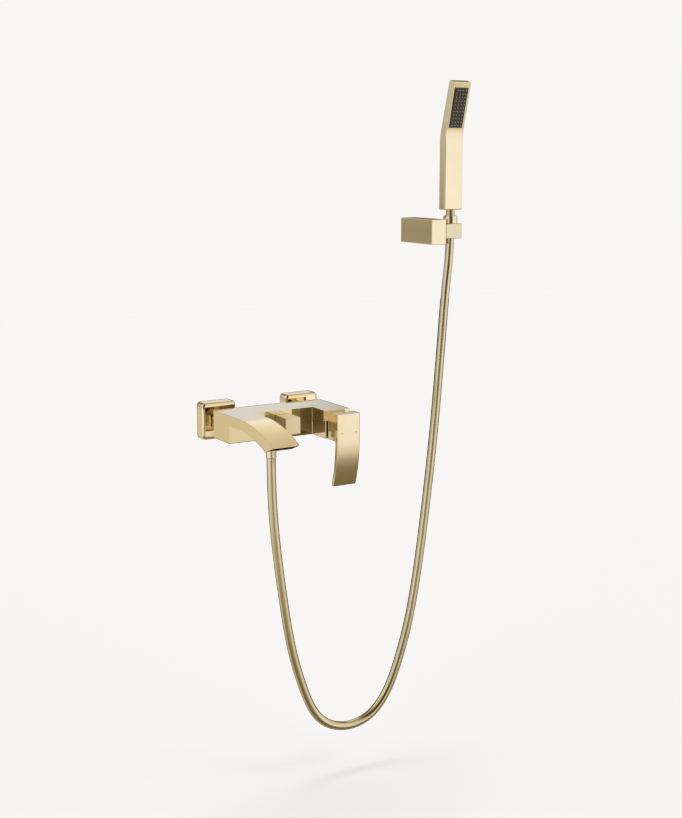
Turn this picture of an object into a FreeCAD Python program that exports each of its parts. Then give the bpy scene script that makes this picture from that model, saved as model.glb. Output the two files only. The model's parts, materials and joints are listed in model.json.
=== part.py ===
"""Wall mounted bath faucet: square mixer with spout and diverter, wall holder, handset and free hose.

Frame: the origin is on the wall, midway between the two inlets. +X runs along the wall to the
right, +Z is up, and the room is on the -Y side, so the faucet stands out from Y = 0 to -Y.
"""
import FreeCAD, Part
import math
import os
import re

import Sketcher

V = FreeCAD.Vector

DIMENSIONS = {
    # Mixer body
    "inlet_offset": 75.0,       # half of the inlets' spacing
    "body_half_length": 95.5,
    "body_half": 22.0,          # half of the square section
    "body_back": -41.0,
    "recess_face": -96.0,
    "block_face": -137.5,
    "block_left": 51.5,
    "spout_right": -51.2,
    # Spout outline, seen from the left end
    "spout_bend_top": -136.0,
    "spout_tip": -238.0,
    "spout_tip_height": -3.3,
    "spout_heel": -214.0,
    "spout_heel_height": -12.7,
    "spout_bend_under": -125.0,
    "spout_under": 6.0,
    "spout_top_radius": 218.0,
    "spout_under_radius": 221.0,
    "spout_wall": 2.3,
    "spout_lip": -217.5,        # where the water way's under wall leaves the sloping end
    "spout_brow": -236.5,       # and its top wall
    # Inlets and escutcheons
    "thread_radius": 10.48,
    "wall_depth": 18.0,
    "escutcheon_half": 29.5,
    "escutcheon_depth": 21.5,
    "escutcheon_wall": 1.6,
    "escutcheon_corner": 6.5,
    "escutcheon_edge": 4.5,
    "union_radius": 13.0,
    "union_nut_half": 15.0,     # half across its flats
    "union_nut_face": -24.5,
    "waterway_radius": 4.5,
    # Lever cartridge
    "lever_axis": 74.5,
    "port_radius": 3.0,
    "cartridge_radius": 17.0,
    "cartridge_floor": -92.0,
    "cartridge_top": -126.0,
    "lift_pivot": -136.0,
    "stem_radius": 3.9,
    # Lever
    "lever_half_width": 20.0,
    "lever_screw_y": -154.0,
    "lever_screw_radius": 2.5,
    "dot_radius": 0.95,
    "dot_offset": 12.5,
    "dot_shift": 0.7,
    "dot_height": -9.5,
    "lever_back": -140.2,
    "lever_face": -169.5,
    "lever_top": 20.3,
    "lever_under": -22.4,
    "lever_chamfer_height": 5.4,
    "lever_chamfer_depth": 10.8,
    "blade_tip": -95.5,
    "blade_tip_face": -157.0,
    "blade_tip_back": -151.6,
    "blade_root_back": -163.6,
    "blade_face_radius": 222.0,
    "blade_back_radius": 225.0,
    # Diverter
    "diverter_x": -2.5,
    "diverter_z": 2.0,
    "knob_half_width": 12.8,
    "knob_half_height": 13.3,
    "knob_face": -131.5,
    "knob_back": -96.9,
    # Shower outlet and the hose's lower end
    "outlet_x": -8.5,
    "outlet_y": -68.5,
    "hose_radius": 7.0,
    "hose_start": -59.0,
    # Wall holder
    "bracket_left": 281.0,
    "bracket_right": 310.0,
    "bracket_low": 269.0,
    "bracket_high": 310.0,
    "bracket_face": -91.0,
    "bracket_wall": 2.2,
    "plate_depth": 4.0,
    "screw_spacing": 20.0,
    "screw_radius": 2.0,
    "screw_neck": 1.8,
    "screw_end": 11.0,
    "screw_tip": 13.5,
    "screw_x": 295.5,
    "cover_screw_y": -9.0,
    "cradle_left": 310.8,
    "cradle_right": 342.5,
    "cradle_low": 278.0,
    "cradle_high": 302.4,
    "cradle_face": -90.5,
    "cradle_back": -67.5,
    "cradle_slot_half": 7.6,
    "cone_radius_high": 8.6,
    "cone_radius_low": 8.0,
    "tilt_height": 290.2,
    # Handset
    "handset_x": 326.3,
    "handset_y": -79.0,
    "handset_half_width": 17.7,
    "handset_front": -87.2,
    "handset_back": -70.8,
    "handset_low": 325.0,
    "handset_bend_front": 449.0,
    "handset_bend_back": 444.0,
    "handset_tip_front": -107.8,
    "handset_tip_front_height": 530.2,
    "handset_tip_back": -95.6,
    "handset_tip_back_height": 533.4,
    "handset_lean": 15.0,
    "collar_radius": 11.6,
    "collar_high": 315.0,
    "panel_half_width": 12.4,
    "panel_half_height": 32.5,
    "panel_y": -99.3,
    "panel_z": 489.0,
    "nozzle_pitch": 5.7,
    "nozzle_radius": 0.85,
    # General
    "edge": 1.0,
    "gap": 0.3,
}

# Free hose: X, Y, Z of each point of its route, from the lower ferrule to inside the cone nut.
HOSE_ROUTE = [
    (-8.5, -68.5, -59), (-8.5, -68.5, -100), (-5, -68.5, -170), (6, -69, -266),
    (24, -69.5, -385), (48, -70.5, -465), (69, -71, -511), (98, -72, -536),
    (137, -73, -545), (176, -74.5, -534), (205, -75, -505), (227, -76, -459),
    (252, -76.5, -380), (269, -77, -290), (284, -77.5, -180), (298, -78, -60),
    (309, -78.5, 70), (318, -79, 190), (326.3, -79, 255), (326.3, -79, 303),
]

doc = FreeCAD.newDocument("wall_mounted_bath_faucet")
sheet = doc.addObject("Spreadsheet::Sheet", "Dims")
for row, (alias, number) in enumerate(DIMENSIONS.items(), start=1):
    sheet.set(f"A{row}", alias)
    sheet.set(f"B{row}", str(number))
    sheet.setAlias(f"B{row}", alias)
doc.recompute()

TURN_TO = {
    "x": FreeCAD.Rotation(V(0, 1, 0), 90),
    "y": FreeCAD.Rotation(V(1, 0, 0), -90),
    "z": FreeCAD.Rotation(),
}
pieces = []


def formula(text):
    """A formula with each dimension's name pointing at its cell."""
    def cell(match):
        word = match.group()
        return "Dims." + word if word in DIMENSIONS else word
    return re.sub(r"[a-z][a-z_]+", cell, str(text))


def number(text):
    """A formula's present value, for a sketch's first shape."""
    value = sheet.evalExpression(formula(text))
    return float(getattr(value, "Value", value))


def bind(thing, prop, text):
    thing.setExpression(prop, formula(text))


def place(thing, axis, low, centre):
    """Turn a thing's own Z to an axis, with its foot at low along it and its centre across it."""
    thing.Placement = FreeCAD.Placement(V(), TURN_TO[axis])
    across, up = centre
    foot = {"x": (low, across, up), "y": (across, low, up), "z": (across, up, low)}[axis]
    for letter, text in zip("xyz", foot):
        bind(thing, "Placement.Base." + letter, text)


def keep(thing, label):
    """Name a finished sub-part; its label names its file."""
    thing.Label = label
    pieces.append(thing)
    return thing


def box(name, x, y, z):
    """A box between two formulas along each axis."""
    solid = doc.addObject("Part::Box", name)
    for letter, side, (low, high) in zip("xyz", ("Length", "Width", "Height"), (x, y, z)):
        bind(solid, "Placement.Base." + letter, low)
        bind(solid, side, f"({high}) - ({low})")
    return solid


def rod(name, axis, low, high, radius, centre):
    solid = doc.addObject("Part::Cylinder", name)
    place(solid, axis, low, centre)
    bind(solid, "Radius", radius)
    bind(solid, "Height", f"({high}) - ({low})")
    return solid


def cone(name, axis, low, high, radius_low, radius_high, centre):
    solid = doc.addObject("Part::Cone", name)
    place(solid, axis, low, centre)
    bind(solid, "Radius1", radius_low)
    bind(solid, "Radius2", radius_high)
    bind(solid, "Height", f"({high}) - ({low})")
    return solid


def fuse(name, *solids):
    joined = doc.addObject("Part::MultiFuse", name)
    joined.Shapes = list(solids)
    joined.Refine = True
    return joined


def cut(name, base, *tools):
    """Base less its tools."""
    result = doc.addObject("Part::Cut", name)
    result.Base = base
    result.Tool = tools[0] if len(tools) == 1 else fuse(name + "_tools", *tools)
    return result


def draw(sketch, outline):
    """Draw a closed outline. Each corner is (across, up), or (across, up, radius, side) where an
    arc runs from that corner to the next, with its centre on that side ("left" or "right")."""
    spots = [V(number(corner[0]), number(corner[1]), 0) for corner in outline]
    for index, corner in enumerate(outline):
        start, end = spots[index], spots[(index + 1) % len(spots)]
        if len(corner) == 2:
            sketch.addGeometry(Part.LineSegment(start, end), False)
            continue
        chord = end - start
        side = V(-chord.y, chord.x, 0).normalize() * (1 if corner[3] == "left" else -1)
        radius = number(corner[2])
        rise = math.sqrt(radius ** 2 - (chord.Length / 2) ** 2)
        middle = start + chord * 0.5 - side * (radius - rise)
        sketch.addGeometry(Part.Arc(start, middle, end), False)
    for index, corner in enumerate(outline):
        point = end_point(sketch, index, spots[index])
        if len(corner) > 2:
            bind_constraint(sketch, Sketcher.Constraint("Radius", index, number(corner[2])), corner[2])
        for kind, text, value in (("DistanceX", corner[0], spots[index].x),
                                  ("DistanceY", corner[1], spots[index].y)):
            bind_constraint(sketch, Sketcher.Constraint(kind, -1, 1, index, point, value), text)
    for index in range(len(outline)):
        following = (index + 1) % len(outline)
        sketch.addConstraint(Sketcher.Constraint(
            "Coincident", index, end_point(sketch, index, spots[following]),
            following, end_point(sketch, following, spots[following])))


def end_point(sketch, index, spot):
    """Which end of an edge, 1 or 2, is at a spot."""
    return 1 if (sketch.getPoint(index, 1) - spot).Length < 1e-6 else 2


def bind_constraint(sketch, constraint, text):
    index = sketch.addConstraint(constraint)
    bind(sketch, f"Constraints[{index}]", text)


def new_sketch(body, name, role, offset="0"):
    """A sketch on one of the body's own origin planes, moved along the plane's normal."""
    sketch = body.newObject("Sketcher::SketchObject", name)
    plane = next(item for item in body.Origin.OriginFeatures if item.Role == role)
    sketch.AttachmentSupport = (plane, "")
    sketch.MapMode = "FlatFace"
    bind(sketch, "AttachmentOffset.Base.z", offset)
    return sketch


def add_prism(body, name, role, low, high, outline, pocket=False):
    """Pad or pocket an outline from low to high along its plane's normal."""
    sketch = new_sketch(body, name + "_outline", role, low)
    draw(sketch, outline)
    feature = body.newObject("PartDesign::Pocket" if pocket else "PartDesign::Pad", name)
    feature.Profile = sketch
    feature.Reversed = pocket
    bind(feature, "Length", f"({high}) - ({low})")
    doc.recompute()
    return feature


def prism(name, role, low, high, outline):
    body = doc.addObject("PartDesign::Body", name)
    add_prism(body, name + "_pad", role, low, high, outline)
    return body


def oblong(x, z):
    """A rectangle's four corners between two formulas each way."""
    return [(x[0], z[0]), (x[1], z[0]), (x[1], z[1]), (x[0], z[1])]


def drill(body, name, axis, low, high, radius, centre):
    """A round hole through a body from low to high."""
    hole = body.newObject("PartDesign::SubtractiveCylinder", name)
    place(hole, axis, low, centre)
    bind(hole, "Radius", radius)
    bind(hole, "Height", f"({high}) - ({low})")
    doc.recompute()
    return hole


def turned(name, axis, centre, profile):
    """A turned piece: a profile of (radius, place along the axis) swung round the axis."""
    body = doc.addObject("PartDesign::Body", name)
    sketch = new_sketch(body, name + "_profile", "XZ_Plane")
    draw(sketch, profile)
    swing = body.newObject("PartDesign::Revolution", name + "_turn")
    swing.Profile = sketch
    swing.ReferenceAxis = (sketch, ["V_Axis"])
    swing.Angle = 360
    place(body, axis, "0", centre)
    doc.recompute()
    return body


def ring(name, axis, centre, low, high, inner, outer):
    return turned(name, axis, centre, [(inner, low), (outer, low), (outer, high), (inner, high)])


def edges_where(shape, test):
    return [f"Edge{index}" for index, edge in enumerate(shape.Edges, start=1) if test(edge)]


def runs_along(edge, direction):
    if edge.Curve.TypeId != "Part::GeomLine":
        return False
    return abs(abs(edge.Curve.Direction.dot(V(*direction))) - 1) < 1e-6


def soften(body, name, radius, test):
    """Round the body's edges that pass a test."""
    base = body.Tip
    names = edges_where(base.Shape, test)
    fillet = body.newObject("PartDesign::Fillet", name)
    fillet.Base = (base, names)
    bind(fillet, "Radius", radius)
    doc.recompute()
    return fillet


def sweep_hose(route, radius):
    """A round tube along straight runs joined by tangent arcs."""
    points = [V(*point) for point in route]
    radii = []
    edges = []
    start = points[0]
    for before, corner, after in zip(points, points[1:], points[2:]):
        into, out = corner - before, after - corner
        turn = into.getAngle(out)
        reach = 0.45 * min(into.Length, out.Length)
        radii.append(reach / math.tan(turn / 2))
        into.normalize()
        out.normalize()
        first, last = corner - into * reach, corner + out * reach
        inward = (out - into).normalize()
        sag = radii[-1] * (1 / math.cos(turn / 2) - 1)
        edges.append(Part.LineSegment(start, first).toShape())
        edges.append(Part.Arc(first, corner + inward * sag, last).toShape())
        start = last
    edges.append(Part.LineSegment(start, points[-1]).toShape())
    path = Part.Wire(edges)
    ring_wire = Part.Wire([Part.makeCircle(radius, points[0], points[1] - points[0])])
    tube = path.makePipeShell([ring_wire], True, False)
    return tube, path.Length, radii


def make_mixer_body():
    """The brass casting: square bar, lever block on the right and spout on the left."""
    body = prism(
        "mixer_body", "YZ_Plane", "-body_half_length", "spout_right",
        [("body_back", "body_half"),
         ("body_back", "-body_half"),
         ("recess_face", "-body_half"),
         ("recess_face", "spout_under"),
         ("spout_bend_under", "spout_under", "spout_under_radius", "left"),
         ("spout_heel", "spout_heel_height"),
         ("spout_tip", "spout_tip_height", "spout_top_radius", "right"),
         ("spout_bend_top", "body_half")])
    add_prism(body, "mixer_bar", "XY_Plane", "-body_half", "body_half",
              oblong(("-body_half_length", "body_half_length"), ("recess_face", "body_back")))
    add_prism(body, "mixer_block", "XY_Plane", "-body_half", "body_half",
              oblong(("block_left", "body_half_length"), ("block_face", "body_back")))
    soften(body, "mixer_edges", "0.5", lambda edge: True)
    lever, diverter = ("lever_axis", "0"), ("diverter_x", "diverter_z")
    drill(body, "cartridge_bore", "y", "block_face - 1", "cartridge_floor", "cartridge_radius + 0.4",
          lever)
    drill(body, "diverter_bore", "y", "recess_face - 1", "recess_face + 30", "9.5", diverter)
    drill(body, "outlet_thread", "z", "-body_half - 1", "-12", "8.6", ("outlet_x", "outlet_y"))
    drill(body, "outlet_way", "z", "-13", "-4", "waterway_radius", ("outlet_x", "outlet_y"))
    drill(body, "cold_port", "y", "cartridge_floor - 1", "-54", "3.5", ("lever_axis + 7", "6"))
    drill(body, "hot_port", "y", "cartridge_floor - 1", "-58", "3.5", ("lever_axis - 10", "6"))
    drill(body, "mixed_port", "y", "cartridge_floor - 1", "-82", "3.5", ("lever_axis", "-9"))
    drill(body, "hot_way", "x", "-inlet_offset", "lever_axis - 10", "3", ("-59.5", "6"))
    drill(body, "mixed_way", "x", "diverter_x", "lever_axis", "4", ("-84", "-9"))
    drill(body, "spout_feed", "x", "-inlet_offset + 2", "diverter_x", "4", ("-82", "13"))
    for side, sign in (("cold", ""), ("hot", "-")):
        axis = (sign + "inlet_offset", "0")
        drill(body, side + "_inlet_thread", "y", "body_back - 14", "body_back + 1", "11", axis)
        drill(body, side + "_inlet_way", "y", "body_back - 28", "body_back - 13", "8", axis)
    add_prism(
        body, "spout_way", "YZ_Plane", "-body_half_length + spout_wall", "spout_right - spout_wall",
        [("-80", "body_half - spout_wall"),
         ("-80", "spout_under + spout_wall"),
         ("spout_bend_under", "spout_under + spout_wall", "spout_under_radius + spout_wall", "left"),
         ("spout_lip", under_wall("spout_lip", "0")),
         ("spout_brow", top_wall("spout_brow", "0"), "spout_top_radius - spout_wall", "right"),
         ("spout_bend_top", "body_half - spout_wall")], pocket=True)
    keep(body, "mixer_body")


def under_wall(y, clear):
    """Height of the water way's under wall at a Y, and a clearance above it."""
    return (f"spout_under - spout_under_radius + sqrt((spout_under_radius + spout_wall + {clear})^2"
            f" - ({y} - spout_bend_under)^2)")


def top_wall(y, clear):
    """Height of the water way's top wall at a Y, and a clearance below it."""
    return (f"body_half - spout_top_radius + sqrt((spout_top_radius - spout_wall - {clear})^2"
            f" - ({y} - spout_bend_top)^2)")


def make_spout_outlet():
    """The flow insert across the water way, just inside the spout's sloping end."""
    low, high = "spout_lip + 3", "spout_brow + 5"
    outlet = prism(
        "outlet_insert", "YZ_Plane", "-body_half_length + spout_wall + gap",
        "spout_right - spout_wall - gap",
        [(low, under_wall(low, "0.5")),
         (high, top_wall(high, "0.5")),
         (f"{high} + 2.8", top_wall(f"{high} + 2.8", "0.5")),
         (f"{low} + 2.8", under_wall(f"{low} + 2.8", "0.5"))])
    middle = "(spout_right - body_half_length) / 2"
    for row, across in enumerate(("spout_lip - 1", "spout_lip - 8"), start=1):
        for column in range(8):
            drill(outlet, f"outlet_jet_{row}_{column + 1}", "z", "spout_heel_height", "body_half", "1.4",
                  (f"{middle} + {4.4 * (column - 3.5):.1f}", across))
    keep(outlet, "spout_outlet")


def make_inlet(side, sign):
    """Everything between the wall and the body on one inlet, and its square escutcheon."""
    axis = (sign + "inlet_offset", "0")
    keep(turned(f"eccentric_union_{side}", "y", axis, [
        ("6.2", "-31.5"), ("union_radius + 0.1", "-31.5"), ("union_radius + 0.1", "-23"),
        ("union_radius", "-23"), ("union_radius", "0"), ("thread_radius", "0"),
        ("thread_radius", "wall_depth"), ("6.2", "wall_depth")]), f"eccentric_union_{side}")
    make_union_nut(side, axis)
    keep(turned(f"inlet_tail_{side}", "y", axis, [
        ("6.2", "-54.5"), ("10.9", "-54.5"), ("10.9", "-36"), ("union_radius - 0.2", "-36"),
        ("union_radius - 0.2", "-33.5"), ("6.2", "-33.5")]), f"inlet_tail_{side}")
    keep(ring(f"filter_washer_{side}", "y", axis, "-33.5", "-31.5", "5", "12.5"),
         f"filter_washer_{side}")
    keep(turned(f"check_valve_{side}", "y", axis, [
        ("1.6", "-52"), ("6.1", "-52"), ("6.1", "-39"), ("3.8", "-39"), ("3.8", "-45"),
        ("1.6", "-45")]), f"check_valve_{side}")
    make_escutcheon(side, sign)


def make_union_nut(side, axis):
    """A hexagon nut with two upright flats, which pulls the tail against the union."""
    name = f"union_nut_{side}"
    middle = axis[0]
    left, right = f"{middle} - union_nut_half", f"{middle} + union_nut_half"
    corner, tip = "union_nut_half * tan(30)", "union_nut_half / cos(30)"
    nut = prism(name, "XZ_Plane", "-union_nut_face", "-body_back - 0.4", [
        (left, f"-{corner}"), (middle, f"-{tip}"), (right, f"-{corner}"),
        (right, corner), (middle, tip), (left, corner)])
    soften(nut, name + "_edges", "0.6", lambda edge: True)
    drill(nut, name + "_thread", "y", "-36.1", "union_nut_face + 1", "union_radius + 0.2", axis)
    drill(nut, name + "_collar", "y", "body_back - 1", "-30", "11.2", axis)
    keep(nut, name)


def make_escutcheon(side, sign):
    name = f"escutcheon_{side}"
    left, right = (f"{sign}inlet_offset - escutcheon_half", f"{sign}inlet_offset + escutcheon_half")
    body = prism(name, "XZ_Plane", "0", "escutcheon_depth",
                 oblong((left, right), ("-escutcheon_half", "escutcheon_half")))
    soften(body, name + "_corners", "escutcheon_corner", lambda edge: runs_along(edge, (0, 1, 0)))
    face = -number("escutcheon_depth") + 0.1
    soften(body, name + "_rim", "escutcheon_edge", lambda edge: edge.BoundBox.YMax < face)
    inset = "escutcheon_edge"
    add_prism(body, name + "_hollow", "XZ_Plane", "-1", "escutcheon_depth - 2 * escutcheon_wall - 1",
              oblong((f"{left} + {inset}", f"{right} - {inset}"),
                     (f"-escutcheon_half + {inset}", f"escutcheon_half - {inset}")), pocket=True)
    drill(body, name + "_hole", "y", "-escutcheon_depth - 1", "1", "union_radius + 0.5",
          (sign + "inlet_offset", "0"))
    keep(body, name)


def port_disc(name, low, high, radius):
    """A disc of the cartridge with its hot, cold and mixed ports."""
    axis = ("lever_axis", "0")
    disc = turned(name + "_blank", "y", axis, [("0", low), (radius, low), (radius, high), ("0", high)])
    ports = [rod(f"{name}_port_{index}", "y", f"{low} - 1", f"{high} + 1", "port_radius", centre)
             for index, centre in enumerate(
                 [("lever_axis + 7", "6"), ("lever_axis - 7", "6"), ("lever_axis", "-9")], start=1)]
    keep(cut(name + "_drilled", disc, *ports), name)


def make_cartridge():
    axis = ("lever_axis", "0")
    port_disc("cartridge_seal", "-93.6", "cartridge_floor", "16.5")
    port_disc("cartridge_base", "-98", "-93.6", "cartridge_radius - 0.1")
    port_disc("ceramic_disc_fixed", "-101.5", "-98", "13.5")
    moving = turned("moving_disc", "y", axis, [
        ("0", "-105"), ("11", "-105"), ("11", "-101.55"), ("7.5", "-101.55"), ("7.5", "-103.2"),
        ("0", "-103.2")])
    keep(moving, "ceramic_disc_moving")
    keep(turned("disc_carrier_body", "y", axis, [
        ("0", "-118"), ("4.3", "-121"), ("4.3", "-125"), ("7", "-125"), ("7", "-109"),
        ("11", "-109"), ("11", "-105"), ("0", "-105")]), "disc_carrier")
    keep(turned("housing", "y", axis, [
        ("15.6", "-98"), ("cartridge_radius", "-98"), ("cartridge_radius", "-134"), ("12.6", "-134"),
        ("12.6", "cartridge_top"), ("15.6", "cartridge_top")]), "cartridge_housing")
    keep(ring("retaining_ring", "y", axis, "-137.3", "-134", "13", "cartridge_radius + 0.3"),
         "cartridge_retaining_ring")
    blank = turned("turret_blank", "y", axis, [
        ("0", "-140"), ("9.5", "-140"), ("9.5", "-134.2"), ("12.4", "-134.2"),
        ("12.4", "-125.9"), ("15.4", "-125.9"), ("15.4", "-121"), ("12", "-121"),
        ("12", "-125.7"), ("0", "-125.7")])
    slot = box("turret_slot", ("lever_axis - 4.1", "lever_axis + 4.1"), ("-141", "-120"),
               ("-7.6", "6.4"))
    bore = rod("turret_pin_bore", "x", "lever_axis - 12", "lever_axis + 12", "1.53", ("lift_pivot", "0"))
    keep(cut("turret", blank, slot, bore), "cartridge_turret")
    keep(rod("pivot_pin", "x", "lever_axis - 9", "lever_axis + 9", "1.5", ("lift_pivot", "0")),
         "stem_pivot_pin")
    stem = turned("stem_blank", "y", axis, [
        ("0", "-156.5"), ("stem_radius", "-156.5"), ("stem_radius", "-128"), ("3.1", "-127"),
        ("3.1", "-123.5"), ("0", "-123.5")])
    keep(cut("stem", stem, rod("stem_pin_bore", "x", "lever_axis - 5", "lever_axis + 5", "1.55",
                               ("lift_pivot", "0"))), "lever_stem")


def make_lever():
    """The lever: a square hub with a flat blade that sweeps down and back."""
    low, high = "lever_axis - lever_half_width", "lever_axis + lever_half_width"
    body = prism("lever_body", "YZ_Plane", low, high, [
        ("lever_face", "lever_top"),
        ("lever_face", "lever_under", "blade_face_radius", "left"),
        ("blade_tip_face", "blade_tip"),
        ("blade_tip_back", "blade_tip + 1.2", "blade_back_radius", "right"),
        ("blade_root_back", "lever_under"),
        ("lever_back", "lever_under"),
        ("lever_back", "lever_chamfer_height"),
        ("lever_back - lever_chamfer_depth", "lever_top")])
    soften(body, "lever_edges", "0.5", lambda edge: True)
    drill(body, "lever_cavity", "y", "-144.8", "lever_back + 1", "11.5", ("lever_axis", "0"))
    drill(body, "lever_socket", "y", "-157", "-144", "stem_radius + 0.05", ("lever_axis", "0"))
    screw_axis = ("lever_axis", "lever_screw_y")
    drill(body, "lever_screw_hole", "z", "0", "lever_top + 1", "lever_screw_radius + 0.1", screw_axis)
    for side, offset in (("hot", "-"), ("cold", "+")):
        spot = (f"lever_axis + dot_shift {offset} dot_offset", "dot_height")
        drill(body, f"{side}_dot_hole", "y", "lever_face - 1", "lever_face + 0.6", "dot_radius", spot)
        keep(rod(f"{side}_dot_disc", "y", "lever_face - 0.05", "lever_face + 0.6", "dot_radius", spot),
             f"{side}_indicator_dot")
    keep(body, "lever")
    keep(rod("lever_screw", "z", "stem_radius", "12", "lever_screw_radius", screw_axis),
         "lever_set_screw")
    keep(rod("lever_plug", "z", "15.5", "lever_top - 0.2", "lever_screw_radius + 0.05", screw_axis),
         "lever_screw_plug")


def make_diverter():
    axis = ("diverter_x", "diverter_z")
    sleeve = ring("sleeve_blank", "y", axis, "-90", "-67", "5", "9.4")
    port = rod("sleeve_port", "z", "diverter_z - 12", "diverter_z + 12", "3", ("diverter_x", "-76"))
    keep(cut("sleeve", sleeve, port), "diverter_sleeve")
    keep(turned("bonnet", "y", axis, [
        ("4.1", "-90"), ("9.4", "-90"), ("9.4", "recess_face"), ("11", "recess_face"),
        ("11", "recess_face - 0.6"), ("4.1", "recess_face - 0.6")]), "diverter_bonnet")
    spindle = turned("spindle_blank", "y", axis, [
        ("0", "-118"), ("4.03", "-118"), ("4.03", "-89.8"), ("4.93", "-89.8"), ("4.93", "-85"),
        ("4", "-85"), ("4", "-82"), ("4.93", "-82"), ("4.93", "-70"), ("0", "-70")])
    way = rod("spindle_way", "z", "diverter_z - 6", "diverter_z + 6", "2.5", ("diverter_x", "-76"))
    keep(cut("spindle", spindle, way), "diverter_spindle")
    keep(ring("spindle_ring", "y", axis, "-84.8", "-82.2", "4", "4.9"), "diverter_seal_ring")
    body = prism("knob", "XZ_Plane", "-knob_back", "-knob_face", oblong(
        ("diverter_x - knob_half_width", "diverter_x + knob_half_width"),
        ("diverter_z - knob_half_height", "diverter_z + knob_half_height")))
    soften(body, "knob_edges", "edge", lambda edge: edge.BoundBox.YMax < number("knob_back") - 0.1
           or runs_along(edge, (0, 1, 0)))
    drill(body, "knob_socket", "y", "-118.5", "knob_back + 1", "4.08", axis)
    drill(body, "knob_screw_hole", "z", "diverter_z - knob_half_height - 1", "diverter_z - 3", "2",
          ("diverter_x", "-108"))
    keep(body, "diverter_knob")
    keep(rod("knob_screw", "z", "diverter_z - 11.5", "diverter_z - 4.1", "1.95", ("diverter_x", "-108")),
         "knob_set_screw")


def make_shower_outlet():
    """The threaded outlet under the body, and the fittings of the hose's lower end."""
    axis = ("outlet_x", "outlet_y")
    keep(turned("nipple", "z", axis, [
        ("4.5", "-36"), ("thread_radius", "-36"), ("thread_radius", "-25"), ("12", "-25"),
        ("12", "-body_half"), ("8.5", "-body_half"), ("8.5", "-13"), ("4.5", "-13")]), "outlet_nipple")
    keep(ring("washer_low", "z", axis, "-38", "-36", "3.2", "9.8"), "hose_washer_lower")
    keep(turned("nut_low", "z", axis, [
        ("8.2", "-45"), ("9.5", "-45"), ("12.5", "-38"), ("12.5", "-26.4"), ("11.9", "-25.8"),
        ("thread_radius + 0.1", "-25.8"), ("thread_radius + 0.1", "-40"), ("8.2", "-40")]),
        "hose_nut_lower")
    keep(turned("core_low", "z", axis, [
        ("3.2", "-58.9"), ("5.5", "-58.9"), ("5.5", "-40"), ("9.8", "-40"), ("9.8", "-38"),
        ("3.2", "-38")]), "hose_core_lower")
    keep(turned("ferrule_low", "z", axis, [
        ("5.6", "hose_start"), ("7.6", "hose_start"), ("8", "hose_start + 0.6"), ("8", "-40.1"),
        ("5.6", "-40.1")]), "hose_ferrule_lower")


def make_hose():
    tube, length, radii = sweep_hose(HOSE_ROUTE, number("hose_radius"))
    hose = doc.addObject("Part::Feature", "hose_tube")
    hose.Shape = tube
    hose.Placement = FreeCAD.Placement()
    keep(hose, "shower_hose")
    section = math.pi * number("hose_radius") ** 2
    share = tube.Volume / section / length
    print(f"hose length {length:.0f} mm, volume over section times length {share:.4f}")
    print("hose radii", " ".join(f"{radius:.0f}" for radius in radii))


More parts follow.
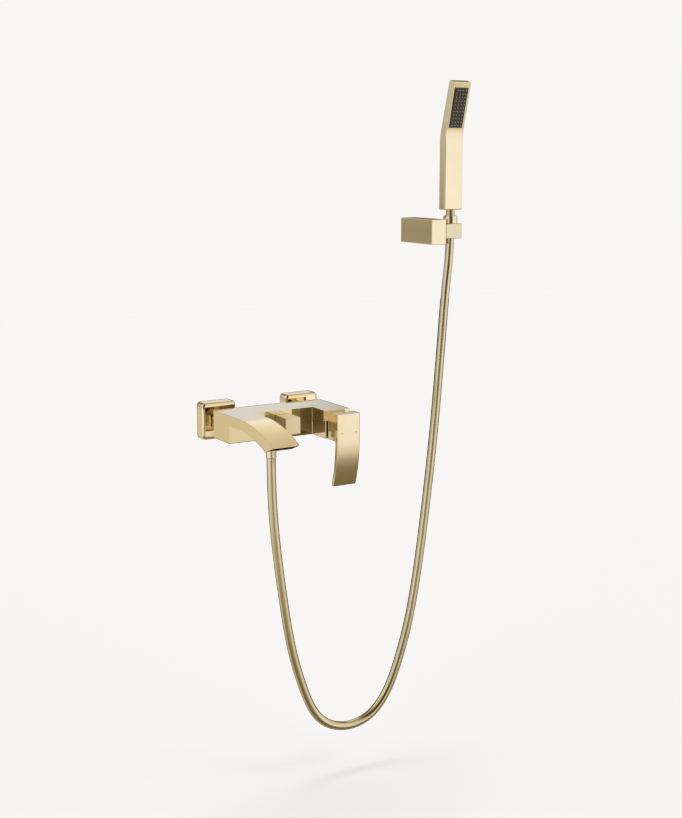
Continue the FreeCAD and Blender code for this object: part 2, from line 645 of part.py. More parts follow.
def make_holder():
    """The wall holder: a plate screwed to the wall, a square cover and a tilting cradle."""
    sides, heights = ("bracket_left", "bracket_right"), ("bracket_low", "bracket_high")
    cover = prism("cover", "XZ_Plane", "0", "-bracket_face", oblong(sides, heights))
    soften(cover, "cover_edges", "edge", lambda edge: edge.BoundBox.YMax < number("bracket_face") + 0.1
           or runs_along(edge, (0, 1, 0)))
    add_prism(cover, "cover_hollow", "XZ_Plane", "-1", "-bracket_face - bracket_wall - 1", oblong(
        ("bracket_left + bracket_wall", "bracket_right - bracket_wall"),
        ("bracket_low + bracket_wall", "bracket_high - bracket_wall")), pocket=True)
    drill(cover, "cover_pin_hole", "x", "bracket_right - 4", "bracket_right + 1", "4.05",
          ("handset_y", "tilt_height"))
    cover_screw = ("screw_x", "cover_screw_y")
    drill(cover, "cover_screw_hole", "z", "bracket_low - 1", "bracket_low + 3", "2.1", cover_screw)
    keep(cover, "holder_cover")
    plate = prism("plate", "XZ_Plane", "0", "plate_depth", oblong(
        ("bracket_left + 2.4", "bracket_right - 2.4"), ("bracket_low + 2.4", "bracket_high - 2.4")))
    add_prism(plate, "plate_tongue", "XZ_Plane", "plate_depth - 1", "14", oblong(
        ("290", "301"), ("bracket_low + 2.4", "bracket_low + 6.4")))
    middle = "bracket_low / 2 + bracket_high / 2"
    for index, sign in enumerate("+-", start=1):
        drill(plate, f"plate_screw_hole_{index}", "y", "-plate_depth - 1", "1", "screw_radius + 0.1",
              ("screw_x", f"{middle} {sign} screw_spacing / 2"))
    drill(plate, "plate_set_hole", "z", "bracket_low", "bracket_low + 7", "1.6", cover_screw)
    keep(plate, "holder_wall_plate")
    screws = []
    for index, sign in enumerate("+-", start=1):
        spot = ("screw_x", f"{middle} {sign} screw_spacing / 2")
        screws.append(turned(f"wall_screw_{index}", "y", spot, [
            ("0", "-6.4"), ("2.2", "-6.4"), ("3.8", "-4.6"), ("3.8", "-plate_depth"),
            ("screw_neck", "-plate_depth"), ("screw_neck", "0"), ("screw_radius", "0"),
            ("screw_radius", "screw_end"), ("0", "screw_tip")]))
    keep(fuse("screws", *screws), "holder_wall_screws")
    keep(rod("cover_screw", "z", "bracket_low + 0.4", "bracket_low + 6.2", "1.55", cover_screw),
         "holder_cover_screw")
    pin_axis = ("handset_y", "tilt_height")
    keep(ring("bush", "x", pin_axis, "300", "bracket_right - bracket_wall", "4.05", "8"), "tilt_bush")
    keep(turned("pin", "x", pin_axis, [
        ("0", "296.5"), ("6.5", "296.5"), ("6.5", "299"), ("4", "299"), ("4", "316.5"),
        ("0", "316.5")]), "tilt_pin")
    keep(turned("spring_washer", "x", pin_axis, [
        ("4.2", "299.1"), ("6.6", "299.1"), ("7.6", "299.9"), ("4.2", "299.9")]), "tilt_spring_washer")
    keep(ring("friction_washer", "x", pin_axis, "bracket_right + 0.05", "cradle_left - 0.05", "4.2", "9"),
         "tilt_friction_washer")
    cradle = prism("cradle_block", "XY_Plane", "cradle_low", "cradle_high", oblong(
        ("cradle_left", "cradle_right"), ("cradle_face", "cradle_back")))
    soften(cradle, "cradle_edges", "edge", lambda edge: edge.BoundBox.XMin > number("cradle_left") + 0.1
           or runs_along(edge, (1, 0, 0)))
    add_prism(cradle, "cradle_slot", "XY_Plane", "cradle_low - 1", "cradle_high + 1", oblong(
        ("handset_x", "cradle_right + 1"),
        ("handset_y - cradle_slot_half", "handset_y + cradle_slot_half")), pocket=True)
    drill(cradle, "cradle_pin_hole", "x", "cradle_left - 1", "316.5", "4", pin_axis)
    bore = cone("cradle_bore", "z", "cradle_low", "cradle_high",
                "cone_radius_low + gap", "cone_radius_high + gap", ("handset_x", "handset_y"))
    keep(cut("cradle", cradle, bore), "holder_cradle")


def make_hose_upper_end():
    """The cone nut that sits in the cradle, and the hose's core inside it."""
    axis = ("handset_x", "handset_y")
    keep(turned("core_high", "z", axis, [
        ("3.2", "303"), ("6.7", "303"), ("6.7", "305.6"), ("9.8", "305.6"), ("9.8", "307.6"),
        ("3.2", "307.6")]), "hose_core_upper")
    keep(turned("cone_nut_body", "z", axis, [
        ("7.15", "cradle_low + 0.5"), ("cone_radius_low", "cradle_low + 0.5"),
        ("cone_radius_high", "cradle_high"), ("cone_radius_high", "cradle_high + 0.3"),
        ("collar_radius - 0.5", "cradle_high + 0.3"), ("collar_radius", "cradle_high + 0.8"),
        ("collar_radius", "collar_high - 0.5"), ("collar_radius - 0.5", "collar_high"),
        ("thread_radius + 0.1", "collar_high"), ("thread_radius + 0.1", "305.5"),
        ("7.15", "305.5")]), "hose_cone_nut")
    keep(ring("washer_high", "z", axis, "307.7", "309.7", "3.2", "10"), "hose_washer_upper")
    keep(turned("inlet_blank", "z", axis, [
        ("4", "309.7"), ("thread_radius", "309.7"), ("thread_radius", "collar_high - 0.2"),
        ("8.2", "collar_high - 0.2"), ("6.9", "handset_low"), ("6.5", "handset_low"),
        ("6.5", "336"), ("4", "336")]), "handset_inlet")
    keep(ring("regulator", "z", axis, "311", "315", "1.5", "3.95"), "flow_regulator")


def make_handset():
    """A flat bar that leans forward at its head, with a slim spray plate in its front."""
    low, high = "handset_x - handset_half_width", "handset_x + handset_half_width"
    body = prism("handset_shell", "YZ_Plane", low, high, [
        ("handset_back", "handset_low"),
        ("handset_back", "handset_bend_back"),
        ("handset_tip_back", "handset_tip_back_height"),
        ("handset_tip_front", "handset_tip_front_height"),
        ("handset_front", "handset_bend_front"),
        ("handset_front", "handset_low")])
    soften(body, "handset_bends", "70", is_bend)
    soften(body, "handset_edges", "1.6", is_handset_rim)
    drill(body, "inlet_socket", "z", "handset_low - 1", "337", "6.6", ("handset_x", "handset_y"))
    drill(body, "handset_way", "z", "336", "handset_bend_front", "4.5", ("handset_x", "handset_y"))
    lean(body, "chamber", "panel_half_width - 2", "panel_half_height - 2", "-0.1", "8.6")
    lean(body, "panel_seat", "panel_half_width + 0.1", "panel_half_height + 0.1", "-4", "4.2")
    keep(body, "handset_body")
    make_spray_face()


def is_bend(edge):
    """The two cross edges where the head starts to lean."""
    bounds = edge.BoundBox
    return (runs_along(edge, (1, 0, 0)) and bounds.ZMin > number("handset_low") + 50
            and bounds.ZMax < number("panel_z"))


def is_handset_rim(edge):
    """The long edges of the handset's outline and its top and bottom corners."""
    bounds = edge.BoundBox
    between = number("handset_low") + 5 < bounds.ZMin < number("panel_z")
    return not (runs_along(edge, (1, 0, 0)) and between)


def lean(body, name, half_width, half_height, front, depth):
    """A box-shaped recess in the leaning face, from front to depth behind it."""
    hollow = body.newObject("PartDesign::SubtractiveBox", name)
    angle = math.radians(number("handset_lean"))
    hollow.Placement.Rotation = FreeCAD.Rotation(V(1, 0, 0), number("handset_lean"))
    bind(hollow, "Length", f"2 * ({half_width})")
    bind(hollow, "Width", f"({depth}) - ({front})")
    bind(hollow, "Height", f"2 * ({half_height})")
    bind(hollow, "Placement.Base.x", f"handset_x - ({half_width})")
    ahead, up = f"({front})", f"({half_height})"
    bind(hollow, "Placement.Base.y",
         f"panel_y + {ahead} * {math.cos(angle):.6f} + {up} * {math.sin(angle):.6f}")
    bind(hollow, "Placement.Base.z",
         f"panel_z + {ahead} * {math.sin(angle):.6f} - {up} * {math.cos(angle):.6f}")
    doc.recompute()


def nozzle_spots():
    """Middles of the spray nozzles on the face: four columns by eleven rows."""
    return [(f"{column - 1.5} * nozzle_pitch", f"{row - 5} * nozzle_pitch")
            for row in range(11) for column in range(4)]


def add_nozzles(body, name, low, high, radius, pocket):
    """Round holes or nozzles at every nozzle's place."""
    sketch = new_sketch(body, name + "_circles", "XZ_Plane", low)
    for index, (across, up) in enumerate(nozzle_spots()):
        spot = V(number(across), number(up), 0)
        sketch.addGeometry(Part.Circle(spot, V(0, 0, 1), number(radius)), False)
        for kind, text, value in (("DistanceX", across, spot.x), ("DistanceY", up, spot.y)):
            bind_constraint(sketch, Sketcher.Constraint(kind, -1, 1, index, 3, value), text)
        bind_constraint(sketch, Sketcher.Constraint("Radius", index, number(radius)), radius)
    feature = body.newObject("PartDesign::Pocket" if pocket else "PartDesign::Pad", name)
    feature.Profile = sketch
    feature.Reversed = pocket
    bind(feature, "Length", f"({high}) - ({low})")
    doc.recompute()


def set_on_head(body):
    """Move a body made round the face's middle onto the leaning face."""
    body.Placement = FreeCAD.Placement(V(), FreeCAD.Rotation(V(1, 0, 0), number("handset_lean")))
    for letter, text in zip("xyz", ("handset_x", "panel_y", "panel_z")):
        bind(body, "Placement.Base." + letter, text)


def make_spray_face():
    """The dark spray plate with the rubber nozzle mat and its gasket behind it."""
    width, height = "panel_half_width", "panel_half_height"
    plate = prism("spray_plate_blank", "XZ_Plane", "-2.2", "-0.4",
                  oblong((f"-{width}", width), (f"-{height}", height)))
    add_nozzles(plate, "spray_holes", "-3", "1", "nozzle_radius + 0.05", True)
    set_on_head(plate)
    keep(plate, "spray_plate")
    mat = prism("nozzle_mat_blank", "XZ_Plane", "-3.2", "-2.2", oblong(
        (f"-{width} + 0.4", f"{width} - 0.4"), (f"-{height} + 0.4", f"{height} - 0.4")))
    add_nozzles(mat, "nozzles", "-2.4", "0.5", "nozzle_radius", False)
    set_on_head(mat)
    keep(mat, "nozzle_mat")
    gasket = prism("gasket_blank", "XZ_Plane", "-4", "-3.2",
                   oblong((f"-{width}", width), (f"-{height}", height)))
    add_prism(gasket, "gasket_window", "XZ_Plane", "-5", "-2", oblong(
        (f"-{width} + 1.8", f"{width} - 1.8"), (f"-{height} + 1.8", f"{height} - 1.8")), pocket=True)
    set_on_head(gasket)
    keep(gasket, "handset_gasket")


def check(objects):
    """Stop if any object failed or any sub-part's shape is bad."""
    failed = [item.Label for item in objects if "Invalid" in item.State or "Error" in item.State]
    bad = [piece.Label for piece in pieces
           if piece.Shape.isNull() or not piece.Shape.isValid() or not piece.Shape.Solids]
    if failed or bad:
        raise RuntimeError(f"failed objects {failed}, bad shapes {bad}")


def main():
    make_mixer_body()
    make_spout_outlet()
    make_inlet("hot", "-")
    make_inlet("cold", "")
    make_cartridge()
    make_lever()
    make_diverter()
    make_shower_outlet()
    make_hose()
    make_holder()
    make_hose_upper_end()
    make_handset()
    doc.recompute()
    check(doc.Objects)
    os.makedirs("parts", exist_ok=True)
    for piece in pieces:
        piece.Shape.exportStep(f"parts/{piece.Label}.step")
    print(f"{len(pieces)} sub-parts")


main()
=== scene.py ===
"""Looks of the wall mounted bath faucet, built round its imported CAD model, in metres."""

import json
import math

import bmesh
import bpy
from mathutils import Euler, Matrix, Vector


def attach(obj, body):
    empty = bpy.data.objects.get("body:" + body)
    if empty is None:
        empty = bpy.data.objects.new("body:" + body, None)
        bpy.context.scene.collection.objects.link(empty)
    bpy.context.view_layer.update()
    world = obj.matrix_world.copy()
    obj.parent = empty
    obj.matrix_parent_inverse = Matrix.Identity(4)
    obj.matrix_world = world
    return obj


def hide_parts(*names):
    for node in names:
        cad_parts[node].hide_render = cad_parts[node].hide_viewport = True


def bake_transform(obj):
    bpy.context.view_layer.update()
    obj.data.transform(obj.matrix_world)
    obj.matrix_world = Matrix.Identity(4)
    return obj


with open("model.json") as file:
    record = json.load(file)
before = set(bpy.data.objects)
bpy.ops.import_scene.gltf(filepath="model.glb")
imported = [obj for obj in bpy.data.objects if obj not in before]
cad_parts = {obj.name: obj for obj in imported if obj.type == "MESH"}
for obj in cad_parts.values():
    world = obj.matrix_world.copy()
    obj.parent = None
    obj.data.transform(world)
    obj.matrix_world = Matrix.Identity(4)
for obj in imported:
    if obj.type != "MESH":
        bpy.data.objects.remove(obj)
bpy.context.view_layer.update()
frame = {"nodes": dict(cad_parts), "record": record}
nodes = frame["nodes"]
scene = bpy.context.scene


# ---------------------------------------------------------------- camera

IMAGE_SIZE = (682, 818)
FOCAL = 1379.77             # in widths of one picture element
CAMERA_PLACE = (-1.01552, -1.96575, 0.42646)
CAMERA_YAW = 30.929         # degrees from +Y towards +X
CAMERA_PITCH = 10.738       # degrees down


def make_camera():
    data = bpy.data.cameras.new("camera")
    data.sensor_width = 36.0
    data.lens = FOCAL * data.sensor_width / max(IMAGE_SIZE)
    data.clip_start, data.clip_end = 0.05, 50.0
    camera = bpy.data.objects.new("camera", data)
    camera.location = CAMERA_PLACE
    camera.rotation_euler = Euler(
        (math.radians(90 - CAMERA_PITCH), 0, math.radians(-CAMERA_YAW)))
    scene.collection.objects.link(camera)
    scene.camera = camera


make_camera()


# ---------------------------------------------------------------- hose

HOSE_RADIUS = 0.007
RIDGE_PITCH = 0.0024        # one turn of the wound strip
RIDGE_DEPTH = 0.00008
HOSE_SIDES = 28
HOSE_RINGS = 3              # along one turn of the strip: one in the groove and two on the ridge
LINER_FOOT = (0.3263, -0.079, 0.272)
LINER_RADIUS = 0.0062
LINER_STEP = 0.004
LINER_STEPS = 8
HOSE_ROUTE = [
    (-0.0085, -0.0685, -0.059), (-0.0085, -0.0685, -0.100), (-0.005, -0.0685, -0.170),
    (0.006, -0.069, -0.266), (0.024, -0.0695, -0.385), (0.048, -0.0705, -0.465),
    (0.069, -0.071, -0.511), (0.098, -0.072, -0.536), (0.137, -0.073, -0.545),
    (0.176, -0.0745, -0.534), (0.205, -0.075, -0.505), (0.227, -0.076, -0.459),
    (0.252, -0.0765, -0.380), (0.269, -0.077, -0.290), (0.284, -0.0775, -0.180),
    (0.298, -0.078, -0.060), (0.309, -0.0785, 0.070), (0.318, -0.079, 0.190),
    (0.3263, -0.079, 0.255), (0.3263, -0.079, 0.303),
]


def smooth_line(route, steps):
    """Points along the smooth curve that the route's points control."""
    curve = bpy.data.curves.new("line", "CURVE")
    curve.dimensions = "3D"
    spline = curve.splines.new("NURBS")
    spline.points.add(len(route) - 1)
    for point, place in zip(spline.points, route):
        point.co = (*place, 1.0)
    spline.order_u = 3
    spline.use_endpoint_u = True
    spline.resolution_u = steps
    curve.resolution_u = steps
    thing = bpy.data.objects.new("line", curve)
    scene.collection.objects.link(thing)
    bpy.context.view_layer.update()
    mesh = bpy.data.meshes.new_from_object(thing)
    points = [vertex.co.copy() for vertex in mesh.vertices]
    bpy.data.objects.remove(thing)
    return points


def at_equal_steps(points, step):
    """Points about one step apart along a line, with its ends kept, and its length."""
    lengths = [0.0]
    for before, after in zip(points, points[1:]):
        lengths.append(lengths[-1] + (after - before).length)
    count = round(lengths[-1] / step)
    spots, index = [], 0
    for number in range(count + 1):
        along = lengths[-1] * number / count
        while index < len(points) - 2 and lengths[index + 1] < along:
            index += 1
        span = lengths[index + 1] - lengths[index]
        spots.append(points[index].lerp(points[index + 1], (along - lengths[index]) / span))
    return spots, lengths[-1]


def tube(name, spots, radius_at, sides):
    """A closed tube along spots, whose radius is a function of the spot's number."""
    shape = bmesh.new()
    rings = []
    side = Vector((0, 1, 0))
    for number, spot in enumerate(spots):
        ahead = spots[min(number + 1, len(spots) - 1)] - spots[max(number - 1, 0)]
        ahead.normalize()
        side = (side - ahead * side.dot(ahead)).normalized()
        other = ahead.cross(side)
        radius = radius_at(number)
        rings.append([
            shape.verts.new(spot + (side * math.cos(turn) + other * math.sin(turn)) * radius)
            for turn in (2 * math.pi * corner / sides for corner in range(sides))])
    for low, high in zip(rings, rings[1:]):
        for corner in range(sides):
            following = (corner + 1) % sides
            shape.faces.new((low[corner], low[following], high[following], high[corner]))
    shape.faces.new(list(reversed(rings[0])))
    shape.faces.new(rings[-1])
    for face in shape.faces:
        face.smooth = len(face.verts) == 4
    bmesh.ops.recalc_face_normals(shape, faces=shape.faces)
    mesh = bpy.data.meshes.new(name)
    shape.to_mesh(mesh)
    shape.free()
    thing = bpy.data.objects.new(name, mesh)
    scene.collection.objects.link(thing)
    return thing


def make_hose():
    """The ridged metal hose, laid along a fixed route up to the holder."""
    spots, length = at_equal_steps(smooth_line(HOSE_ROUTE, 24), RIDGE_PITCH / HOSE_RINGS)

    def radius_at(number):
        in_groove = number % HOSE_RINGS == 0
        return HOSE_RADIUS - RIDGE_DEPTH * in_groove

    hose = tube("metal_hose", spots, radius_at, HOSE_SIDES)
    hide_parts("shower_hose")
    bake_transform(hose)
    print("hose length", round(length, 4))
    return hose


def make_liner():
    """A tube inside the hose's upper end, which rises out of it when the handset is lifted.

    It passes through the hose's closed end at rest and when lifted.
    """
    x, y, foot = LINER_FOOT
    spots = [Vector((x, y, foot + LINER_STEP * number)) for number in range(LINER_STEPS + 1)]
    liner = tube("hose_liner", spots, lambda number: LINER_RADIUS, HOSE_SIDES)
    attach(liner, "hose_end")
    return liner


hose = make_hose()
liner = make_liner()


# ---------------------------------------------------------------- escutcheons

COVER_HALF = 0.0295
COVER_DEPTH = 0.0215
COVER_CORNER = 0.0065       # radius of the upright corners
COVER_RIM = 0.0045          # radius of the front face's edge
COVER_SWELL = 1.3           # how far the front falls back, over the squared distance from its middle
COVER_BACK = 0.0183         # depth of the hollow behind the front
COVER_HOLE = 0.0135
COVER_RIM_STEPS = 8
COVER_FACE_STEPS = 14
INLET_OFFSET = 0.075
SHARP_ANGLE = 0.6           # radians between faces, above which their edge isn't smoothed


def square_ring(half, corner, corner_steps=8, side_steps=8):
    """Points round a square with rounded corners, as (across, up)."""
    points = []
    reach = half - corner
    for quarter in range(4):
        turn = quarter * math.pi / 2
        cosine, sine = math.cos(turn), math.sin(turn)
        bend = [(reach + corner * math.cos(angle), reach + corner * math.sin(angle))
                for angle in (step * math.pi / 2 / corner_steps for step in range(corner_steps + 1))]
        flat = [(reach * (1 - 2 * step / side_steps), half) for step in range(1, side_steps)]
        points += [(x * cosine - z * sine, x * sine + z * cosine) for x, z in bend + flat]
    return points


def make_cover(name, replaced, middle):
    """A hollow square cover, rounded at its corners and rim, whose front swells slightly."""
    face_half = COVER_HALF - COVER_RIM
    inner = square_ring(face_half, COVER_CORNER - COVER_RIM)
    hole = [(x * COVER_HOLE / math.hypot(x, z), z * COVER_HOLE / math.hypot(x, z)) for x, z in inner]
    sections = [(square_ring(COVER_HALF, COVER_CORNER), 0.0, 0.0)]
    for step in range(COVER_RIM_STEPS + 1):
        angle = step * math.pi / 2 / COVER_RIM_STEPS
        inset = COVER_RIM * (1 - math.cos(angle))
        sections.append((square_ring(COVER_HALF - inset, COVER_CORNER - inset),
                         COVER_DEPTH - COVER_RIM * (1 - math.sin(angle)), COVER_SWELL))
    for step in range(1, COVER_FACE_STEPS + 1):
        share = step / COVER_FACE_STEPS
        sections.append(([(x + (p - x) * share, z + (q - z) * share)
                          for (x, z), (p, q) in zip(inner, hole)], COVER_DEPTH, COVER_SWELL))
    sections += [(hole, COVER_BACK, 0.0), (inner, COVER_BACK, 0.0), (inner, 0.0, 0.0)]
    shape = bmesh.new()
    rings = [[shape.verts.new((middle + x, swell * (x * x + z * z) - depth, z)) for x, z in points]
             for points, depth, swell in sections]
    for low, high in zip(rings, rings[1:] + rings[:1]):
        for corner in range(len(low)):
            following = (corner + 1) % len(low)
            shape.faces.new((low[corner], low[following], high[following], high[corner]))
    bmesh.ops.recalc_face_normals(shape, faces=shape.faces)
    for face in shape.faces:
        face.smooth = True
    for edge in shape.edges:
        edge.smooth = edge.calc_face_angle(0.0) < SHARP_ANGLE
    mesh = bpy.data.meshes.new(name)
    shape.to_mesh(mesh)
    shape.free()
    cover = bpy.data.objects.new(name, mesh)
    scene.collection.objects.link(cover)
    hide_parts(replaced)
    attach(cover, "root")
    return cover


covers = [make_cover("square_cover_hot", "escutcheon_hot", -INLET_OFFSET),
          make_cover("square_cover_cold", "escutcheon_cold", INLET_OFFSET)]


# ---------------------------------------------------------------- materials

class Shader:
    """A material's node tree, with short ways to add and join nodes."""

    def __init__(self, name, colour, metallic, roughness):
        self.material = bpy.data.materials.new(name)
        self.material.use_nodes = True
        self.nodes = self.material.node_tree.nodes
        self.links = self.material.node_tree.links
        self.surface = self.nodes["Principled BSDF"]
        self.surface.inputs["Base Color"].default_value = (*colour, 1)
        self.surface.inputs["Metallic"].default_value = metallic
        self.surface.inputs["Roughness"].default_value = roughness

    def add(self, kind, **settings):
        node = self.nodes.new(kind)
        for key, value in settings.items():
            setattr(node, key, value)
        return node

    def join(self, source, output, target, entry):
        self.links.new(source.outputs[output], target.inputs[entry])

    def place(self, scale):
        """The piece's own coordinates, stretched by a scale along each axis."""
        where = self.add("ShaderNodeTexCoord")
        mapping = self.add("ShaderNodeMapping")
        mapping.inputs["Scale"].default_value = scale
        self.join(where, "Object", mapping, "Vector")
        return mapping

    def noise(self, scale, stretch=(1, 1, 1), detail=4.0, roughness=0.55):
        mapping = self.place(stretch)
        node = self.add("ShaderNodeTexNoise")
        node.inputs["Scale"].default_value = scale
        node.inputs["Detail"].default_value = detail
        node.inputs["Roughness"].default_value = roughness
        self.join(mapping, "Vector", node, "Vector")
        return node

    def ramp(self, source, output, stops):
        node = self.add("ShaderNodeValToRGB")
        elements = node.color_ramp.elements
        while len(elements) < len(stops):
            elements.new(0.5)
        for element, (spot, colour) in zip(elements, stops):
            element.position = spot
            element.color = (*colour, 1)
        self.join(source, output, node, "Fac")
        return node

    def spread(self, source, output, low, high):
        """A value from 0 to 1 spread between two limits."""
        node = self.add("ShaderNodeMapRange")
        node.inputs["To Min"].default_value = low
        node.inputs["To Max"].default_value = high
        self.join(source, output, node, "Value")
        return node

    def bump(self, source, output, distance, strength=1.0, before=None):
        node = self.add("ShaderNodeBump")
        node.inputs["Strength"].default_value = strength
        node.inputs["Distance"].default_value = distance
        self.join(source, output, node, "Height")
        if before is not None:
            self.join(before, "Normal", node, "Normal")
        return node


def plated(name, colour, darker, roughness, stretch, ripple=0.00012):
    """Plated metal with a faint brushed grain, cloudy gloss and waves in its surface, ripple deep."""
    shader = Shader(name, colour, 1.0, roughness)
    cloud = shader.noise(18.0, detail=3.0)
    tint = shader.ramp(cloud, "Fac", [(0.3, darker), (0.7, colour)])
    shader.join(tint, "Color", shader.surface, "Base Color")
    grain = shader.noise(900.0, stretch, detail=2.0)
    gloss = shader.spread(grain, "Fac", roughness * 0.75, roughness * 1.3)
    shader.join(gloss, "Result", shader.surface, "Roughness")
    wave = shader.noise(30.0, detail=1.0)
    slow = shader.bump(wave, "Fac", ripple, 0.35)
    fine = shader.bump(grain, "Fac", 0.000003, 0.25, before=slow)
    shader.join(fine, "Normal", shader.surface, "Normal")
    return shader.material


def turned_metal(name, colour, roughness):
    """Bare machined metal with fine turning marks."""
    shader = Shader(name, colour, 1.0, roughness)
    marks = shader.noise(500.0, (1, 6, 1), detail=3.0)
    gloss = shader.spread(marks, "Fac", roughness * 0.7, roughness * 1.4)
    shader.join(gloss, "Result", shader.surface, "Roughness")
    bumps = shader.bump(marks, "Fac", 0.00003, 0.3)
    shader.join(bumps, "Normal", shader.surface, "Normal")
    shade = shader.ramp(marks, "Fac", [(0.2, tuple(part * 0.85 for part in colour)), (0.8, colour)])
    shader.join(shade, "Color", shader.surface, "Base Color")
    return shader.material


def moulded(name, colour, roughness, grain=600.0, depth=0.00004):
    """Moulded plastic, rubber or enamel with a fine grain and a slight change of tone."""
    shader = Shader(name, colour, 0.0, roughness)
    skin = shader.noise(grain, detail=3.0)
    bumps = shader.bump(skin, "Fac", depth, 0.4)
    shader.join(bumps, "Normal", shader.surface, "Normal")
    cloud = shader.noise(40.0)
    tone = shader.ramp(cloud, "Fac", [(0.3, tuple(part * 0.82 for part in colour)), (0.7, colour)])
    shader.join(tone, "Color", shader.surface, "Base Color")
    gloss = shader.spread(skin, "Fac", roughness * 0.85, min(1.0, roughness * 1.2))
    shader.join(gloss, "Result", shader.surface, "Roughness")
    return shader.material


GOLD = (0.92, 0.80, 0.565)
GOLD_SHADE = (0.88, 0.755, 0.515)
GOLD_DULL = (0.79, 0.685, 0.475)
GOLD_DULL_SHADE = (0.75, 0.645, 0.435)
ALONG_X, ALONG_Z = (0.03, 1, 1), (1, 1, 0.03)      # the grain's stretch

gold_across = plated("gold_across", GOLD, GOLD_SHADE, 0.05, ALONG_X, ripple=0.00002)
gold_upright = plated("gold_upright", GOLD, GOLD_SHADE, 0.09, ALONG_Z)
gold_polished = plated("gold_polished", GOLD, GOLD_SHADE, 0.05, ALONG_X)
gold_hose = plated("gold_hose", GOLD_DULL, GOLD_DULL_SHADE, 0.16, (1, 1, 1))
gold_satin = plated("gold_satin", GOLD_DULL, GOLD_DULL_SHADE, 0.12, ALONG_Z)
brass = turned_metal("bare_brass", (0.80, 0.62, 0.34), 0.3)
steel = turned_metal("turned_steel", (0.62, 0.61, 0.59), 0.28)
zinc = turned_metal("zinc_plate", (0.66, 0.67, 0.68), 0.38)

FINISHES = {
    "mixer_body": gold_across, "lever": gold_upright, "diverter_knob": gold_satin,
    "handset_body": gold_upright, "holder_cover": gold_across, "holder_cradle": gold_satin,
}
SLOT_FINISHES = {
    "champagne_body": gold_polished,
    "hose_metal": gold_hose,
    "brass": brass,
    "steel": steel,
    "zinc_plate": zinc,
    "black_rubber": moulded("black_rubber", (0.025, 0.025, 0.025), 0.65),
    "grey_rubber": moulded("silicone", (0.55, 0.49, 0.38), 0.5),
    "white_plastic": moulded("acetal", (0.82, 0.81, 0.77), 0.4),
    "ceramic": moulded("ceramic", (0.86, 0.83, 0.76), 0.12, depth=0.00001),
    "dark_plastic": moulded("spray_face", (0.058, 0.056, 0.052), 0.42),
    "dark_insert": moulded("dark_insert", (0.045, 0.045, 0.047), 0.45),
    "red_dot": moulded("red_enamel", (0.26, 0.02, 0.012), 0.25),
    "blue_dot": moulded("blue_enamel", (0.02, 0.06, 0.26), 0.25),
}


def dress(thing, material):
    thing.data.materials.clear()
    thing.data.materials.append(material)


for subpart in frame["record"]["subparts"]:
    name = subpart["node"]
    dress(nodes[name], FINISHES.get(name, SLOT_FINISHES[subpart["material_slot"]]))
dress(hose, gold_hose)
dress(liner, gold_hose)
for cover in covers:
    dress(cover, gold_polished)


# ---------------------------------------------------------------- floor, sky and lights

FLOOR_HEIGHT = -0.62
BACKDROP = (0.930, 0.922, 0.905)


def make_floor():
    mesh = bpy.data.meshes.new("floor")
    reach = 6.0
    corners = [(-reach, -reach), (reach, -reach), (reach, reach), (-reach, reach)]
    mesh.from_pydata([(x, y, FLOOR_HEIGHT) for x, y in corners], [], [(0, 1, 2, 3)])
    floor = bpy.data.objects.new("floor", mesh)
    scene.collection.objects.link(floor)
    floor.is_shadow_catcher = True
    floor.visible_glossy = False
    shader = Shader("floor", BACKDROP, 0.0, 0.9)
    dress(floor, shader.material)


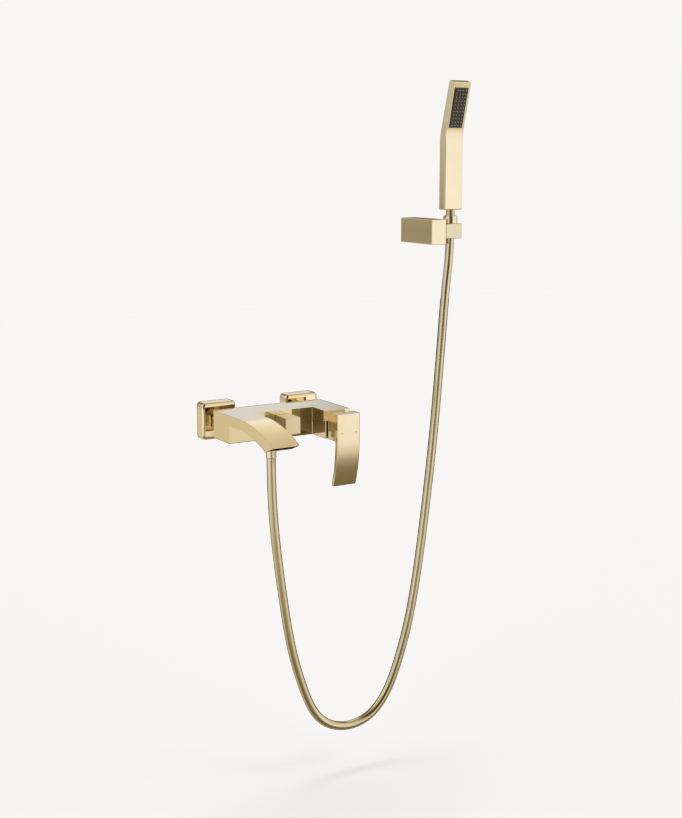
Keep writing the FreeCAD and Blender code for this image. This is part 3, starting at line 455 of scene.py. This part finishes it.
def make_sky():
    """A pale studio: its brightness changes with height and with direction round the object."""
    world = bpy.data.worlds.new("studio")
    world.use_nodes = True
    scene.world = world
    tree = world.node_tree
    add, join = tree.nodes.new, tree.links.new
    shown = tree.nodes["Background"]
    where = add("ShaderNodeTexCoord")
    parts = add("ShaderNodeSeparateXYZ")
    join(where.outputs["Generated"], parts.inputs[0])

    def ramp(source, stops, mode="LINEAR"):
        node = add("ShaderNodeValToRGB")
        node.color_ramp.interpolation = mode
        elements = node.color_ramp.elements
        while len(elements) < len(stops):
            elements.new(0.5)
        for element, (spot, colour) in zip(elements, stops):
            element.position = spot
            element.color = (*colour, 1)
        join(source, node.inputs["Fac"])
        return node.outputs["Color"]

    def sum_up(kind, first, second):
        node = add("ShaderNodeMath")
        node.operation = kind
        for entry, value in enumerate((first, second)):
            if isinstance(value, (int, float)):
                node.inputs[entry].default_value = value
            else:
                join(value, node.inputs[entry])
        return node.outputs[0]

    def multiply(first, second):
        node = add("ShaderNodeMixRGB")
        node.blend_type = "MULTIPLY"
        node.inputs["Fac"].default_value = 1.0
        join(first, node.inputs["Color1"])
        join(second, node.inputs["Color2"])
        return node.outputs[0]

    height = sum_up("MULTIPLY_ADD", parts.outputs["Z"], 0.5)
    height.node.inputs[2].default_value = 0.5
    turn = sum_up("ARCTAN2", parts.outputs["X"], parts.outputs["Y"])
    around = sum_up("MULTIPLY_ADD", turn, 1 / (2 * math.pi))
    around.node.inputs[2].default_value = 0.5

    front = ramp(height, FRONT_SKY)
    back = ramp(height, BACK_SKY)
    side = ramp(around, [(0.0, (0, 0, 0)), (0.22, (0, 0, 0)), (0.30, (1, 1, 1)), (0.70, (1, 1, 1)),
                         (0.78, (0, 0, 0)), (1.0, (0, 0, 0))])
    blend = add("ShaderNodeMixRGB")
    join(side, blend.inputs["Fac"])
    join(front, blend.inputs["Color1"])
    join(back, blend.inputs["Color2"])
    low = ramp(height, [(0.445, (1, 1, 1)), (0.48, (0, 0, 0))])
    flags = add("ShaderNodeMixRGB")
    join(low, flags.inputs["Fac"])
    lean = sum_up("MULTIPLY_ADD", parts.outputs["X"], 0.5)
    lean.node.inputs[2].default_value = 0.5
    leaning = add("ShaderNodeMixRGB")
    join(side, leaning.inputs["Fac"])
    leaning.inputs["Color1"].default_value = (1, 1, 1, 1)
    join(ramp(lean, LEAN_FLAGS), leaning.inputs["Color2"])
    join(multiply(ramp(around, HIGH_FLAGS), leaning.outputs[0]), flags.inputs["Color1"])
    deep = add("ShaderNodeMixRGB")
    join(ramp(height, [(0.24, (1, 1, 1)), (0.385, (0, 0, 0))]), deep.inputs["Fac"])
    join(ramp(around, LOW_FLAGS), deep.inputs["Color1"])
    deep.inputs["Color2"].default_value = (0.95, 0.93, 0.88, 1)
    join(deep.outputs[0], flags.inputs["Color2"])
    away = add("ShaderNodeVectorMath")
    away.operation = "DISTANCE"
    join(where.outputs["Generated"], away.inputs[0])
    away.inputs[1].default_value = DARK_SPOT
    spot = ramp(sum_up("MULTIPLY", away.outputs["Value"], 1 / SPOT_REACH), SPOT_SHARE)

    shaded = multiply(multiply(blend.outputs[0], flags.outputs[0]), spot)

    rays = add("ShaderNodeLightPath")
    plain = add("ShaderNodeMixRGB")
    join(rays.outputs["Is Camera Ray"], plain.inputs["Fac"])
    join(shaded, plain.inputs["Color1"])
    plain.inputs["Color2"].default_value = (*BACKDROP, 1)
    join(plain.outputs[0], shown.inputs["Color"])


# Brightness by height, from straight down (0) through the horizon (0.5) to straight up (1).
FRONT_SKY = [(0.0, (0.20, 0.16, 0.10)), (0.17, (0.22, 0.18, 0.11)), (0.235, (0.28, 0.24, 0.15)),
             (0.28, (0.44, 0.41, 0.32)), (0.32, (0.74, 0.70, 0.57)), (0.36, (0.90, 0.87, 0.79)),
             (0.405, (1.02, 1.01, 1.0)), (0.52, (1.04, 1.03, 1.03)), (0.60, (0.85, 0.82, 0.74)),
             (0.90, (0.8, 0.76, 0.64)), (0.945, (0.40, 0.35, 0.25)), (1.0, (0.62, 0.57, 0.45))]
BACK_SKY = [(0.0, (0.45, 0.42, 0.34)), (0.30, (0.76, 0.70, 0.54)), (0.41, (0.73, 0.66, 0.49)),
            (0.47, (0.34, 0.31, 0.22)), (0.50, (0.54, 0.51, 0.43)), (0.57, (0.72, 0.76, 0.80)),
            (0.61, (0.74, 0.76, 0.79)), (0.68, (1.0, 0.97, 0.90)), (0.80, (0.88, 0.81, 0.65)),
            (0.92, (0.66, 0.59, 0.43)), (0.955, (0.40, 0.35, 0.25)), (1.0, (0.62, 0.57, 0.45))]
# Share that is left by direction, below and above the horizon: 0 and 1 are towards -Y, 0.25 is -X,
# 0.5 is +Y and 0.75 is +X.
LOW_FLAGS = [(0.0, (0.40, 0.37, 0.29)), (0.02, (0.33, 0.30, 0.21)), (0.085, (0.33, 0.30, 0.21)),
             (0.115, (0.6, 0.58, 0.52)), (0.15, (0.9, 0.94, 1.0)), (0.22, (0.95, 1.0, 1.08)),
             (0.30, (1.2, 1.35, 1.8)), (0.36, (1.1, 1.15, 1.3)), (0.39, (0.96, 0.96, 0.96)),
             (0.43, (0.96, 0.96, 0.96)), (0.48, (0.13, 0.10, 0.06)), (0.65, (0.13, 0.10, 0.06)),
             (0.70, (0.6, 0.58, 0.56)), (0.80, (0.6, 0.58, 0.56)), (0.86, (1, 1, 1)),
             (0.914, (1, 1, 1)), (0.919, (0.88, 0.83, 0.70)), (0.925, (0.78, 0.74, 0.63)),
             (0.936, (0.9, 0.88, 0.82)), (0.95, (1, 1, 1)),
             (0.985, (0.58, 0.55, 0.48)), (1.0, (0.40, 0.37, 0.29))]
HIGH_FLAGS = [(0.0, (0.22, 0.18, 0.12)), (0.03, (0.05, 0.035, 0.02)), (0.115, (0.05, 0.035, 0.02)),
              (0.145, (0.3, 0.26, 0.2)), (0.18, (0.95, 0.97, 1.0)), (0.41, (1, 1, 1)),
              (0.45, (0.25, 0.21, 0.15)), (0.53, (0.25, 0.21, 0.15)), (0.556, (1, 1, 1)),
              (0.955, (1, 1, 1)), (0.985, (0.45, 0.42, 0.35)), (1.0, (0.22, 0.18, 0.12))]
# The same on the +Y side above the horizon, by how far the direction leans to +X (0.5 is not at all).
LEAN_FLAGS = [(0.0, (1, 1, 1)), (0.735, (1, 1, 1)), (0.7425, (0.94, 0.94, 0.92)),
              (0.752, (0.74, 0.73, 0.68)), (0.766, (0.6, 0.57, 0.5)), (0.79, (0.25, 0.2, 0.13)),
              (0.85, (0.3, 0.25, 0.18)), (0.93, (0.8, 0.78, 0.72)), (1.0, (1, 1, 1))]
# The small dark opening that the light comes round, and the share of light by distance from it.
DARK_SPOT = (-0.4873, -0.8520, -0.1913)
SPOT_SHARE = [(0.0, (0.05, 0.04, 0.03)), (0.13, (0.07, 0.055, 0.035)), (0.22, (0.3, 0.26, 0.2)),
              (0.36, (0.75, 0.72, 0.68)), (0.55, (1.1, 1.1, 1.1)), (0.8, (1.2, 1.2, 1.2)),
              (1.0, (1, 1, 1))]
SPOT_REACH = 0.05


def make_lamp(name, place, aim, size, power):
    data = bpy.data.lights.new(name, "AREA")
    data.shape = "RECTANGLE"
    data.size, data.size_y = size
    data.energy = power
    lamp = bpy.data.objects.new(name, data)
    lamp.location = place
    lamp.rotation_euler = (Vector(aim) - Vector(place)).to_track_quat("-Z", "Y").to_euler()
    lamp.visible_glossy = False
    scene.collection.objects.link(lamp)


make_floor()
make_sky()
make_lamp("key_light", (1.6, -1.8, 1.6), (0.1, -0.1, 0.1), (1.2, 1.2), 12)
make_lamp("top_light", (0.0, 0.4, 2.2), (0.1, -0.1, 0.0), (1.6, 0.8), 10)
scene.view_settings.view_transform = "Standard"
scene.view_settings.look = "None"
